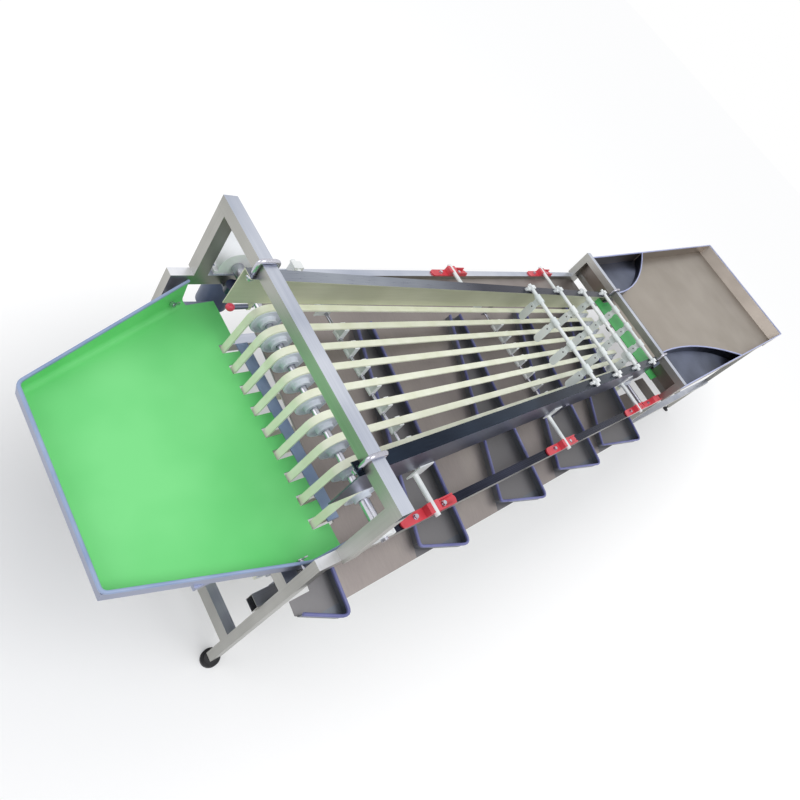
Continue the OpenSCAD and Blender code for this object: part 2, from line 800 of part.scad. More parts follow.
function loop_points(r, c) = let (p = [for (q = loop_centres) [q[0] / c, q[1]]])
    [for (i = [0:3]) let (d0 = p[i] - p[(i + 3) % 4], d1 = p[(i + 1) % 4] - p[i],
        a0 = atan2(d0[0], -d0[1]), a1 = atan2(d1[0], -d1[1]), turn = a1 > a0 ? a1 - a0 - 360 : a1 - a0)
        for (j = [0:arc_steps]) let (a = a0 + turn * j / arc_steps) p[i] + r * [cos(a), sin(a)]];

module sorting_belts() {
    place() color("beige") for (k = [-belt_pairs:belt_pairs]) {
        yaw = -atan(k * (pitch_wide - pitch_narrow) / run_len);
        y_0 = belt_line(0, k);
        translate([0, y_0, 0]) rotate([0, 0, yaw]) rotate([90, 0, 0])
            translate([0, 0, -belt_w / 2]) linear_extrude(belt_w) difference() {
                polygon(loop_points(belt_out, cos(yaw)));
                polygon(loop_points(belt_in, cos(yaw)));
            }
    }
}

// Feed tray
feed_wall_h = feed_rim - bead_h / 2 - seat;

module feed_wall_plan(w) {
    y_side = half_w - sheet_t / 2;
    strip([[feed_wall_u, open_far], [feed_wall_u, y_side], [feed_len, y_side]], w);
    strip([[feed_wall_u, open_near], [feed_wall_u, -y_side], [feed_len, -y_side]], w);
}

module feed_back_section(t, h0, h1) {
    k = back_lean / feed_rim;
    translate([0, half_w, 0]) rotate([90, 0, 0]) linear_extrude(frame_w)
        polygon([[feed_len + h0 * k - t / 2, h0], [feed_len + h0 * k + t / 2, h0],
            [feed_len + h1 * k + t / 2, h1], [feed_len + h1 * k - t / 2, h1]]);
}

module feed_side_gusset(s) {
    translate([0, s * (half_w - sheet_t / 2) + sheet_t / 2, 0]) rotate([90, 0, 0]) linear_extrude(sheet_t)
        polygon([[feed_len - 1, 0], [feed_len + back_lean * feed_wall_h / feed_rim, feed_wall_h],
            [feed_len - 1, feed_wall_h]]);
}

module feed_tray() {
    place() color("tan") feed_frame() {
        translate([0, -352, -sheet_t]) cube([feed_wall_u, 642, sheet_t]);
        translate([feed_wall_u - 1, -half_w, -sheet_t]) cube([feed_len - feed_wall_u + 1, frame_w, sheet_t]);
        linear_extrude(feed_wall_h) feed_wall_plan(sheet_t);
        feed_back_section(sheet_t, -sheet_t, feed_wall_h);
        for (s = [-1, 1]) feed_side_gusset(s);
    }
}

module feed_baffle_plan(w) {
    far = bend([3100, half_w - 4], [2720, 170], [feed_lip_x + feed_wall_u + 4, open_far - 4], 14);
    near = bend([3400, -half_w + 4], [2850, -215], [feed_lip_x + feed_wall_u + 4, open_near + 50], 14);
    translate([-feed_lip_x, 0]) {
        strip(far, w);
        strip(near, w);
    }
}

module feed_baffles() {
    place() color("slategray") feed_frame() linear_extrude(feed_wall_h) feed_baffle_plan(sheet_t);
}

module feed_edging() {
    place() color("thistle") feed_frame() translate([0, 0, feed_rim - bead_h / 2])
        linear_extrude(bead_h) {
            feed_wall_plan(bead_w);
            feed_baffle_plan(bead_w);
            for (s = [-1, 1]) translate([feed_len - 1, s * (half_w - sheet_t / 2) - bead_w / 2])
                square([back_lean, bead_w]);
            translate([feed_len + back_lean - bead_w / 2, -half_w]) square([bead_w, frame_w]);
        }
}

module apron_mat() {
    place() color("green") feed_frame() {
        translate([0, -350, 0]) cube([feed_wall_u - 5, 638, mat_t]);
        translate([feed_wall_u - 6, open_near + 58, 0]) cube([56, open_far - open_near - 72, mat_t]);
    }
}

module rubber_strip() {
    place() color("black") {
        translate([portal_pitch + tube, -half_w, feed_top - tube - 1]) cube([5, 188, tube + 1]);
        translate([portal_pitch + tube, -268, feed_top - tube - 1]) cube([5, 448, tube + 1]);
    }
}

// Shafts, bearings and drive
module shaft_bearing() {
    place() color("whitesmoke") translate([drive_x, -inner_y - rail_w / 2, rail_top]) difference() {
        union() {
            translate([-60, -rail_w / 2, 0]) cube([120, rail_w, 14]);
            translate([0, -rail_w / 2 - 2, bearing_h]) rod_y(30, rail_w + 4);
            translate([-28, -rail_w / 2, 0]) cube([56, rail_w, bearing_h]);
        }
        translate([0, -rail_w, bearing_h]) rod_y(shaft_r + run_fit, 2 * rail_w);
        translate([-100, -rail_w, -20]) cube([200, 2 * rail_w, 20]);
    }
}

module idler_hanger(x, z, top, y, t) {
    translate([x, y, 0]) difference() {
        union() {
            translate([-40, 0, z - 32]) cube([80, t, top - z + 32]);
            translate([0, -9, z]) rod_y(28, t + 9);
        }
        translate([0, -20, z]) rod_y(shaft_r + run_fit, t + 40);
    }
}

module idler_hangers() {
    place() color("gray") difference() {
        translate([drive_x - 28, inner_y - 61, rail_bottom + 2]) cube([36, 61, 6]);
        translate([drive_x - 18, inner_y - 46, rail_bottom]) cylinder(r = 6 + run_fit, h = 10);
    }
    place() color("gray") both_sides() {
        idler_hanger(loop_centres[3][0], loop_centres[3][1], stretcher_z + tube, inner_y - tube - 8, 8);
        idler_hanger(loop_centres[2][0], loop_centres[2][1], stretcher_z + tube, inner_y - tube - 8, 8);
        idler_hanger(loop_centres[1][0], loop_centres[1][1], rail_bottom, inner_y + 4, 8);
    }
}

module pulley_row(x, z, w) {
    for (k = [-belt_pairs:belt_pairs]) translate([x, belt_line(x, k) - w / 2, z]) {
        rod_y(pulley_r, w);
        translate([0, -hub_w, 0]) rod_y(hub_r, hub_w + 1);
    }
}

module shaft_line(x, z, half) {
    translate([x, -half, z]) rod_y(shaft_r, 2 * half);
}

module drive_shaft() {
    place() color("silver") {
        translate([drive_x, -half_w, drive_z]) rod_y(shaft_r, half_w + gear_y + wheel_w / 2 + 8);
        translate([drive_x, gear_front - 132, drive_z]) rod_y(sleeve_r, 130);
        translate([drive_x, -442, drive_z]) rod_y(15, 78);
    }
}

module drive_pulleys() {
    place() color("whitesmoke") difference() {
        pulley_row(drive_x, drive_z, pulley_w);
        translate([drive_x, -half_w, drive_z]) rod_y(shaft_r + run_fit, frame_w);
    }
}

module idler(i, half) {
    x = loop_centres[i][0];
    z = loop_centres[i][1];
    place() color("whitesmoke") {
        shaft_line(x, z, half);
        pulley_row(x, z, pulley_w);
    }
}

module lower_discharge_idler() {
    idler(3, inner_y - tube + 2);
}

module lower_feed_idler() {
    idler(2, inner_y - tube + 2);
}

module upper_feed_idler() {
    idler(1, inner_y + 14);
}

module gearbox() {
    place() color("lightgray") difference() {
        union() {
            intersection() {
                translate([drive_x, gear_front, drive_z]) rod_y(gear_r, gear_back - gear_front);
                union() {
                    translate([drive_x - 100, gear_front, rail_top]) cube([200, 200, 200]);
                    translate([drive_x - 100, inner_y + rail_w + 1, rail_top - 60]) cube([200, 200, 200]);
                }
            }
            translate([drive_x - 62, gear_front, rail_top]) cube([124, rail_w - 8, 12]);
            translate([worm_x, gear_y, motor_top]) cylinder(r = worm_box_r, h = 125);
            translate([worm_x, gear_y, motor_top]) cylinder(r = motor_r - 4, h = 8);
            translate([drive_x + 20, gear_y - 20, drive_z - 40]) cube([40, 40, 80]);
        }
        translate([drive_x, gear_y - 17, drive_z]) rod_y(gear_in, 34);
        translate([drive_x, 0, drive_z]) rod_y(shaft_r + run_fit, gear_back - 6);
        translate([worm_x, gear_y, motor_top - 1]) cylinder(r = worm_r + 4, h = 118);
    }
}

module drive_motor() {
    place() color("steelblue") translate([worm_x, gear_y, motor_top - motor_h]) difference() {
        union() {
            cylinder(r = motor_r, h = motor_h);
            for (a = [20:20:340]) rotate(a) translate([0, -1.5, 30]) cube([motor_r, 3, motor_h - 60]);
        }
        translate([0, 0, 12]) cylinder(r = motor_r - 12, h = motor_h - 24);
        translate([0, 0, 20]) cylinder(r = worm_r + 0.6, h = motor_h);
    }
}

module worm_wheel() {
    teeth = 30;
    place() color("peru") translate([drive_x, gear_y - wheel_w / 2, drive_z]) difference() {
        rotate([-90, 0, 0]) linear_extrude(wheel_w) union() {
            circle(r = wheel_r - 3);
            for (i = [0:teeth - 1]) rotate(i * 360 / teeth) polygon([[wheel_r - 4, -2.4],
                [wheel_r, -1.2], [wheel_r, 1.2], [wheel_r - 4, 2.4]]);
        }
        translate([0, -1, 0]) rod_y(shaft_r + run_fit, wheel_w + 2);
    }
}

module worm_shaft() {
    rotor_z = motor_top - motor_h;
    place() color("silver") translate([worm_x, gear_y, 0]) {
        translate([0, 0, rotor_z + 13]) cylinder(r = 8, h = drive_z + 46 - rotor_z - 13);
        translate([0, 0, drive_z - 24]) cylinder(r = worm_r, h = 48);
        translate([0, 0, rotor_z + 40]) cylinder(r = motor_r - 18, h = motor_h - 90);
    }
}

// Hand knobs at the far side plate's end
knob_x = 8;
knob_z = plate_z(0) - plate_h - 20;
knob_y = belt_y + plate_half(0) - plate_t / 2;

module red_knob() {
    place() color("crimson") translate([knob_x, knob_y, knob_z]) rotate([0, 90, 0]) {
        translate([0, 0, -6]) sphere(r = 12);
        cylinder(r = 7.5, h = 43);
        translate([0, 0, 40]) cylinder(r = 4, h = 22);
    }
}

module black_knob() {
    place() color("midnightblue") translate([drive_x - 18, inner_y - 46, drive_z - shaft_r - 42]) {
        cylinder(r = 27, h = 26);
        translate([0, 0, -10]) cylinder(r1 = 16, r2 = 24, h = 10);
        translate([0, 0, -46]) cylinder(r = 6, h = 40);
    }
}

near_rail();
far_rail();
discharge_crossbar();
feed_crossbar();
portal_uprights();
legs();
cross_tubes();
side_stretchers();
levelling_feet();
discharge_tray();
tray_mat();
tray_edging();
sorting_deck();
deck_bearers();
chute_walls();
chute_edging();
outlet_spouts();
near_side_plate();
far_side_plate();
plate_u_bolts();
rail_brackets();
mounting_bolts();
stand_off_rods();
belt_supports();
belt_guides();
flap_rods();
rod_clamps();
sorting_belts();
feed_tray();
feed_edging();
feed_baffles();
apron_mat();
rubber_strip();
shaft_bearing();
idler_hangers();
gearbox();
drive_motor();
drive_shaft();
drive_pulleys();
worm_wheel();
worm_shaft();
lower_discharge_idler();
lower_feed_idler();
upper_feed_idler();
red_knob();
black_knob();
flap(0, 3);  // flap_a1
flap(0, 1);  // flap_a2
flap(0, -1);  // flap_a3
flap(0, -3);  // flap_a4
flap(1, 2);  // flap_b1
flap(1, 0);  // flap_b2
flap(1, -2);  // flap_b3
flap(2, 3);  // flap_c1
flap(2, 1);  // flap_c2
flap(2, -1);  // flap_c3
flap(2, -3);  // flap_c4
flap(3, 2);  // flap_d1
flap(3, 0);  // flap_d2
flap(3, -2);  // flap_d3
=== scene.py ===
# %% [markdown]
# # A fruit grading machine for the packhouse
# Fruit rolls down a wide feed tray onto nine narrow belts. The belts spread apart, so each fruit falls
# through when the gap is as wide as it is. The stainless frame and all its joints come from the packed
# CAD model, and this lesson gives them their looks. Everything is in metres.

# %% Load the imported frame
import math

import bpy
from mathutils import Matrix, Vector


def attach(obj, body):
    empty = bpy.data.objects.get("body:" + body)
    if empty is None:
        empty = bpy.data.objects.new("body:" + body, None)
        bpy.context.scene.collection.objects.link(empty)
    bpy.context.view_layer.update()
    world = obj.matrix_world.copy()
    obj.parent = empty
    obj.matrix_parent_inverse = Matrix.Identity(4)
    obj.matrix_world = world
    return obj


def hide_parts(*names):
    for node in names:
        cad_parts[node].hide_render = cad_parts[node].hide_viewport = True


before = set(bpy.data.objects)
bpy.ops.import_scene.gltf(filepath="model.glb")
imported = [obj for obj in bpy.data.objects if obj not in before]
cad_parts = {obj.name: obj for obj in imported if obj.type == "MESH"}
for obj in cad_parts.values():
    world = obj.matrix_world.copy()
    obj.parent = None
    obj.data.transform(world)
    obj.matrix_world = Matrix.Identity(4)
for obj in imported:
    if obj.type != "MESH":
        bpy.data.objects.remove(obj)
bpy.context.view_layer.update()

bpy.context.scene.view_settings.view_transform = "Standard"
print("CAD nodes:", len(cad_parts))

# %% [markdown]
# ## Where things are
# The drawing measures in millimetres from the discharge portal: x along the belts, y across, z above
# the floor. The pieces built here are fitted to the CAD model's own pieces, so they share its sizes. The
# model is centred on its plan, between the far ends of its two trays and between the last spout and the
# motor. One helper moves a drawing point into the model. Three more do it for the sloped planes of the
# deck and of the two trays, where h is the height over the sheet.

# %% Drawing points to model points
PORTAL_PITCH = 2300

# Where the sheet of each sloped plane starts, and how it slopes.
TRAY_X, TRAY_Z, TRAY_TURN = 88, 695, math.radians(4.4)
FEED_X, FEED_Z, FEED_TURN = PORTAL_PITCH - 15, 829, math.radians(7.1)
DECK_Z, DECK_TURN = 712, math.radians(8.5)

# The outermost points of the plan: the first three in their own sloped plane, as run and height.
TRAY_TIP = (-539, 50)
FEED_TIP = (2100, 78)
SPOUT_TIP = (-603.476, 36)
MOTOR_SIDE = 582


def level_run(tip, turn):
    return tip[0] * math.cos(turn) - tip[1] * math.sin(turn)


MID_X = (TRAY_X + level_run(TRAY_TIP, TRAY_TURN) + FEED_X + level_run(FEED_TIP, FEED_TURN)) / 2
MID_Y = (MOTOR_SIDE + level_run(SPOUT_TIP, DECK_TURN)) / 2


def at(x, y, z):
    return Vector(((x - MID_X) / 1000, (y - MID_Y) / 1000, z / 1000))


def on_deck(x, y, h):
    return at(x, y * math.cos(DECK_TURN) - h * math.sin(DECK_TURN),
              DECK_Z + y * math.sin(DECK_TURN) + h * math.cos(DECK_TURN))


def on_tray(u, y, h):
    return at(TRAY_X + u * math.cos(TRAY_TURN) - h * math.sin(TRAY_TURN), y,
              TRAY_Z + u * math.sin(TRAY_TURN) + h * math.cos(TRAY_TURN))


def on_feed(u, y, h):
    return at(FEED_X + u * math.cos(FEED_TURN) - h * math.sin(FEED_TURN), y,
              FEED_Z + u * math.sin(FEED_TURN) + h * math.cos(FEED_TURN))


print("centre of the plan, mm:", round(MID_X, 2), round(MID_Y, 2))

# %% [markdown]
# ## Camera
# The photograph was taken from above the discharge tray's near side. The camera's place and turn come
# from solving the perspective of the frame's square tubes. The picture was cropped from a wider one, so
# the lens is shifted a little.

# %% Camera
camera = bpy.data.objects.new("camera", bpy.data.cameras.new("camera"))
bpy.context.scene.collection.objects.link(camera)
bpy.context.scene.camera = camera
view_right = Vector((0.5693, -0.5288, 0.6295))
view_down = Vector((-0.1363, -0.8158, -0.5621))
view_ahead = Vector((0.8108, 0.2342, -0.5365))
turn = Matrix((view_right, -view_down, -view_ahead)).transposed()
camera.matrix_world = Matrix.Translation(at(-858.7, -643.1, 2090.1)) @ turn.to_4x4()
camera.data.sensor_width = 36
camera.data.lens = 25.61
camera.data.shift_x = -0.1316
camera.data.shift_y = -0.0343
camera.data.clip_end = 60
print("camera at", [round(v, 3) for v in camera.location])

# %% [markdown]
# ## Three small helpers for finishes
# Colours are written as sRGB hex, the way a colour picker shows them, and one function turns them into
# the linear values that a shader wants. One more function adds a shader node with its settings and its
# links: a socket is given by its name, or as i0, i1 and so on where names repeat.

# %% Helpers for finishes


def linear(code):
    parts = [int(code[i:i + 2], 16) / 255 for i in (1, 3, 5)]
    return (*[v / 12.92 if v <= 0.04045 else ((v + 0.055) / 1.055) ** 2.4 for v in parts], 1.0)


def add(tree, kind, settings=None, **inputs):
    made = tree.nodes.new(kind)
    for name, value in (settings or {}).items():
        setattr(made, name, value)
    for name, value in inputs.items():
        numbered = name[0] == "i" and name[1:].isdigit()
        socket = made.inputs[int(name[1:]) if numbered else name.replace("_", " ")]
        if isinstance(value, bpy.types.NodeSocket):
            tree.links.new(value, socket)
        else:
            socket.default_value = value
    return made


def finish_base(name, **values):
    finish = bpy.data.materials.new(name)
    finish.use_nodes = True
    tree = finish.node_tree
    tree.nodes.clear()
    shader = add(tree, "ShaderNodeBsdfPrincipled", **values)
    out = add(tree, "ShaderNodeOutputMaterial")
    tree.links.new(shader.outputs[0], out.inputs[0])
    return finish, tree, shader


print("white in linear values:", linear("#ffffff"))

# %% [markdown]
# ## Stainless steel, ground and brushed
# The tubes and sheets are stainless steel, ground with a fine belt along their length. The real lines
# are about 0.2 mm apart, too fine for a picture of a machine five metres long, so they are drawn about
# 3 mm apart and very faint. Rolling and handling leave wide soft clouds. A metal keeps the default IOR.

# %% Stainless steel
LINE_LENGTH_MM = 400
CLOUD_MM = 260


def stainless(name, dark, pale, rough, along, line_mm=3.0, metal=1.0):
    finish, tree, shader = finish_base(name, Metallic=metal)
    place = add(tree, "ShaderNodeTexCoord").outputs["Object"]
    across = [1000 / line_mm] * 3
    across["xyz".index(along)] = 1000 / LINE_LENGTH_MM
    lines = add(tree, "ShaderNodeMapping", Vector=place, Scale=across)
    grain = add(tree, "ShaderNodeTexNoise", Vector=lines.outputs[0], Scale=1.0, Detail=3.0, Roughness=0.6)
    cloud = add(tree, "ShaderNodeTexNoise", Vector=place, Scale=1000 / CLOUD_MM, Detail=2.0)
    wear = add(tree, "ShaderNodeMath", {"operation": "MULTIPLY_ADD"}, i0=grain.outputs[0], i1=0.35,
               i2=cloud.outputs[0])
    shade = add(tree, "ShaderNodeMapRange", Value=wear.outputs[0], From_Min=0.45, From_Max=0.9)
    colour = add(tree, "ShaderNodeMix", {"data_type": "RGBA"}, i0=shade.outputs[0], i6=linear(dark),
                 i7=linear(pale))
    tree.links.new(colour.outputs[2], shader.inputs["Base Color"])
    gloss = add(tree, "ShaderNodeMapRange", Value=grain.outputs[0], To_Min=rough - 0.05, To_Max=rough + 0.08)
    tree.links.new(gloss.outputs[0], shader.inputs["Roughness"])
    bump = add(tree, "ShaderNodeBump", Height=grain.outputs[0], Strength=0.06, Distance=0.0004)
    tree.links.new(bump.outputs[0], shader.inputs["Normal"])
    return finish


# Ground tube mirrors softly. Its sides mirror the floor, and its top is a colder, paler copy of the
# steel: a painted reflection of the room.
tube_side = {a: stainless("ground stainless tube along " + a, "#989893", "#b9b8b3", 0.36, a) for a in "xyz"}
tube_top_painted_reflection = {a: stainless("ground stainless tube top along " + a, "#a9b0c0", "#d2d6e0", 0.30, a)
            for a in "xyz"}

# Two faces stand out: the near rail's top has a painted dark reflection, and the legs' caps have a
# painted highlight where they catch the lamp.
rail_top_painted_dark_reflection = stainless("stainless rail top, painted dark reflection", "#1f212b", "#373a49", 0.25, "x")
leg_cap_painted_highlight = stainless("ground stainless leg cap, painted highlight", "#dfe2ea", "#f4f5f9", 0.32, "y")

# Rolled sheet is duller than tube. Where fruit rolls it is a warm grey, brushed the way the fruit goes.
deck_sheet = stainless("brushed stainless deck sheet, painted shade in the chutes", "#888180", "#9d9692", 0.42, "y", 5.0)
chute_sheet = stainless("brushed stainless chute floor", "#666a70", "#797e86", 0.40, "y", 5.0)
feed_sheet = stainless("brushed stainless feed sheet", "#9d958b", "#aaa299", 0.42, "x", 5.0)
feed_wall = stainless("brushed stainless feed wall", "#8d857d", "#a0978f", 0.40, "y", 5.0)
baffle_sheet = stainless("brushed stainless baffle", "#434958", "#697084", 0.32, "z", 5.0)
tray_sheet = stainless("brushed stainless tray sheet", "#8f95ab", "#a9afc4", 0.38, "x", 5.0)

# The side plates' colours are painted reflections: dark outside, and inside the cream of the belts.
# Their flanges are smoother, and their colours are painted reflections too.
plate_outer_painted_dark_reflection = stainless("brushed stainless plate outside, painted dark reflection", "#5d6174", "#7b8094", 0.34, "x", 4.0)
plate_inner_painted_belt_reflection = stainless("brushed stainless plate inside, painted belt reflection", "#b8bba3", "#d2d4bf", 0.45, "x", 4.0, 0.45)
flange_top_painted_dark_reflection = stainless("stainless flange, painted dark reflection", "#1c222e", "#303b4a", 0.22, "x")
flange_far_painted_reflection = stainless("ground stainless flange, painted reflection", "#7d828e", "#9ea4ad", 0.28, "x")

# Machined metal has the finest lines, drawn 2 mm apart, and mirrors the lamp as a clear bright streak.
bright_steel = stainless("turned bright steel", "#a6a6b2", "#d3d3dc", 0.22, "y", 2.0)
bronze = stainless("machined gear bronze", "#a06f38", "#c9965a", 0.3, "y", 2.0)
print("metals:", len(bpy.data.materials))

# %% [markdown]
# ## Painted reflection and painted shade by place
# Two sheets are painted differently from place to place. The far flange is pale by the discharge portal
# and dark further on: a painted reflection, because it mirrors something else there. The floors of the
# five chutes are painted darker than the strips between them: painted shade in the channels. A second
# sheet over the first would do it, but a mask that is worked out from the place needs no new mesh, and
# its edge lies exactly at the chute walls.

# %% Outlets
# Each chute starts as wide as the throat, and its left wall leans a step more than the one before.
OUTLET_FIRST = 50
OUTLET_PITCH = 510
THROAT = 65
LEAN_STEP = 75
CHUTE_FAR, LIP_RIGHT_Y, LIP_LEFT_Y = 255, -604, -530
OUTLETS = range(5)


def chute_right(k):
    return OUTLET_FIRST + OUTLET_PITCH * k


def chute_lean(k):
    return LEAN_STEP * (k + 1) / (CHUTE_FAR - LIP_RIGHT_Y)


def chute_left(k, y):
    return chute_right(k) - THROAT - chute_lean(k) * (CHUTE_FAR - y)


# %% Two masks and their second colours, for painted reflection and painted shade
# The far flange's painted reflection changes colour between these two places, in metres along the model.
FLANGE_PALE_END, FLANGE_DARK_START = -1.45, -0.95


def blend_by_place(finish, mask_of, code):
    tree = finish.node_tree
    shader = next(n for n in tree.nodes if n.type == "BSDF_PRINCIPLED")
    place = add(tree, "ShaderNodeSeparateXYZ", i0=add(tree, "ShaderNodeTexCoord").outputs["Object"])
    first = shader.inputs["Base Color"].links[0].from_socket
    colour = add(tree, "ShaderNodeMix", {"data_type": "RGBA"}, i0=mask_of(tree, place), i6=first,
                 i7=linear(code))
    tree.links.new(colour.outputs[2], shader.inputs["Base Color"])


def painted_reflection_past_portal(tree, place):
    return add(tree, "ShaderNodeMapRange", Value=place.outputs[0], From_Min=FLANGE_PALE_END,
               From_Max=FLANGE_DARK_START).outputs[0]


def painted_shade_on_chute_floors(tree, place):
    """Is 1 between the two walls of a chute, where the painted shade goes, and 0 elsewhere, in the drawing's
    millimetres.
    """
    x = add(tree, "ShaderNodeMath", {"operation": "MULTIPLY_ADD"}, i0=place.outputs[0], i1=1000.0, i2=MID_X)
    y = add(tree, "ShaderNodeMath", {"operation": "MULTIPLY_ADD"}, i0=place.outputs[1],
            i1=1000 / math.cos(DECK_TURN), i2=MID_Y / math.cos(DECK_TURN))
    near = add(tree, "ShaderNodeMath", {"operation": "LESS_THAN"}, i0=y.outputs[0], i1=CHUTE_FAR)
    total = 0.0
    for k in OUTLETS:
        left = add(tree, "ShaderNodeMath", {"operation": "MULTIPLY_ADD"}, i0=y.outputs[0], i1=chute_lean(k),
                   i2=chute_left(k, 0))
        after = add(tree, "ShaderNodeMath", {"operation": "GREATER_THAN"}, i0=x.outputs[0],
                    i1=left.outputs[0])
        before = add(tree, "ShaderNodeMath", {"operation": "LESS_THAN"}, i0=x.outputs[0], i1=chute_right(k))
        total = add(tree, "ShaderNodeMath", {"operation": "MULTIPLY_ADD"}, i0=after.outputs[0],
                    i1=before.outputs[0], i2=total).outputs[0]
    return add(tree, "ShaderNodeMath", {"operation": "MULTIPLY"}, i0=total, i1=near.outputs[0]).outputs[0]


# The far flange gets a painted reflection, and the chute floors get painted shade.
blend_by_place(flange_far_painted_reflection, painted_reflection_past_portal, "#30323f")
blend_by_place(deck_sheet, painted_shade_on_chute_floors, "#757476")
print("chutes, mm wide at the lip:", [round(chute_right(k) - chute_left(k, LIP_RIGHT_Y)) for k in OUTLETS])

# %% [markdown]
# ## Plastics and rubbers
# Moulded plastic and rubber have one colour right through. What the eye reads is a soft, slightly
# uneven gloss. A fine bump stands for the texture of the mould, drawn at the size given in millimetres.

# %% Plastics and rubbers


def moulded(name, low, high, rough, grain_mm=4.0, bump_mm=0.15, cloud_mm=120.0):
    finish, tree, shader = finish_base(name)
    place = add(tree, "ShaderNodeTexCoord").outputs["Object"]
    cloud = add(tree, "ShaderNodeTexNoise", Vector=place, Scale=1000 / cloud_mm, Detail=3.0)
    grain = add(tree, "ShaderNodeTexNoise", Vector=place, Scale=1000 / grain_mm, Detail=2.0)
    shade = add(tree, "ShaderNodeMapRange", Value=cloud.outputs[0], From_Min=0.3, From_Max=0.7)
    colour = add(tree, "ShaderNodeMix", {"data_type": "RGBA"}, i0=shade.outputs[0], i6=linear(low),
                 i7=linear(high))
    tree.links.new(colour.outputs[2], shader.inputs["Base Color"])
    gloss = add(tree, "ShaderNodeMapRange", Value=grain.outputs[0], To_Min=rough - 0.06, To_Max=rough + 0.06)
    tree.links.new(gloss.outputs[0], shader.inputs["Roughness"])
    bump = add(tree, "ShaderNodeBump", Height=grain.outputs[0], Strength=0.2, Distance=bump_mm / 1000)
    tree.links.new(bump.outputs[0], shader.inputs["Normal"])
    return finish


# Foamed sheet is matt and even, with wide soft clouds where it isn't quite flat.
lining = moulded("green foamed pvc lining", "#58c768", "#7bdc86", 0.42, 6.0, 0.12, 400.0)
apron = moulded("green foamed pvc apron", "#3da552", "#57bd6b", 0.45, 6.0, 0.12, 200.0)

# Extruded rubber edging has a soft sheen along its round back.
tray_trim = moulded("steel blue rubber edging", "#7f93b8", "#9cadcb", 0.45, 3.0)
indigo_trim = moulded("indigo rubber edging", "#505388", "#7679a9", 0.42, 3.0)
lilac_trim = moulded("lilac rubber edging", "#a3aad2", "#bcc2e2", 0.45, 3.0)
black_rubber = moulded("black rubber strip", "#121216", "#24242b", 0.5, 3.0)
foot_rubber = moulded("black nitrile foot", "#17171a", "#2a2a2e", 0.55, 2.0)

# The belts are cast polyurethane, and the pale machine parts are nylon, acetal and silicone.
belt_cream = moulded("cream polyurethane belt", "#e2e5cb", "#eff1de", 0.45, 3.0, 0.1, 60.0)
nylon = moulded("pale cast nylon", "#c6ccd6", "#dde2ea", 0.38, 3.0)
white_acetal = moulded("white acetal", "#dadfe0", "#eff1f0", 0.35, 3.0)
silicone = moulded("pale silicone flap", "#d2dbdb", "#eaeeec", 0.40, 4.0)

# Enamel and moulded knobs are the smoothest, so they show the lamp as a small bright spot.
red_enamel = moulded("red enamel", "#c8323f", "#dd5560", 0.32, 5.0, 0.05)
red_phenolic = moulded("red moulded phenolic", "#c92440", "#dd4c63", 0.30, 3.0)
navy_plastic = moulded("navy moulded plastic", "#1b2036", "#2d3350", 0.30, 3.0)
motor_paint = moulded("blue grey motor enamel", "#36455f", "#4c5c78", 0.38, 3.0)
housing = moulded("pale grey painted casting", "#e0e3e6", "#f1f2f4", 0.42, 2.0, 0.3)
print("finishes:", len(bpy.data.materials))

# %% [markdown]
# ## Dress the CAD pieces
# A tube that is bent or welded looks different on each side, because each side mirrors something else.
# So a tube or a folded sheet carries one finish on its sides and another on its upward faces, and their
# two colours are painted reflections. All other pieces have one finish, and the flaps, which are in
# neither table, are silicone. The red knob has its second finish on its steel shank.

# %% Which finish each piece gets
PAIRS = {
    "near_rail": (tube_side["x"], rail_top_painted_dark_reflection), "far_rail": (tube_side["x"], tube_top_painted_reflection["x"]),
    "discharge_crossbar": (tube_side["y"], tube_top_painted_reflection["y"]), "feed_crossbar": (tube_side["y"], tube_top_painted_reflection["y"]),
    "portal_uprights": (tube_side["z"], tube_top_painted_reflection["z"]), "legs": (tube_side["z"], leg_cap_painted_highlight),
    "cross_tubes": (tube_side["y"], tube_top_painted_reflection["y"]), "side_stretchers": (tube_side["x"], tube_top_painted_reflection["x"]),
    "near_side_plate": (plate_outer_painted_dark_reflection, flange_top_painted_dark_reflection), "far_side_plate": (plate_inner_painted_belt_reflection, flange_far_painted_reflection),
    "feed_tray": (feed_wall, feed_sheet), "red_knob": (red_phenolic, plate_outer_painted_dark_reflection),
}
SINGLES = {
    "levelling_feet": foot_rubber, "discharge_tray": tray_sheet, "tray_mat": lining,
    "tray_edging": tray_trim, "sorting_deck": deck_sheet, "deck_bearers": tube_side["y"],
    "chute_walls": chute_sheet, "chute_edging": indigo_trim, "outlet_spouts": chute_sheet,
    "plate_u_bolts": bright_steel, "rail_brackets": red_enamel, "mounting_bolts": bright_steel,
    "stand_off_rods": white_acetal, "belt_supports": bright_steel, "belt_guides": white_acetal,
    "flap_rods": white_acetal, "rod_clamps": white_acetal, "sorting_belts": belt_cream,
    "feed_edging": lilac_trim, "feed_baffles": baffle_sheet, "apron_mat": apron,
    "rubber_strip": black_rubber, "shaft_bearing": white_acetal, "idler_hangers": chute_sheet,
    "gearbox": housing, "drive_motor": motor_paint, "drive_shaft": bright_steel, "drive_pulleys": nylon,
    "worm_wheel": bronze, "worm_shaft": bright_steel, "lower_discharge_idler": nylon,
    "lower_feed_idler": nylon, "upper_feed_idler": nylon, "black_knob": navy_plastic,
}
print("pieces with two finishes:", len(PAIRS), "and with one:", len(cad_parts) - len(PAIRS))

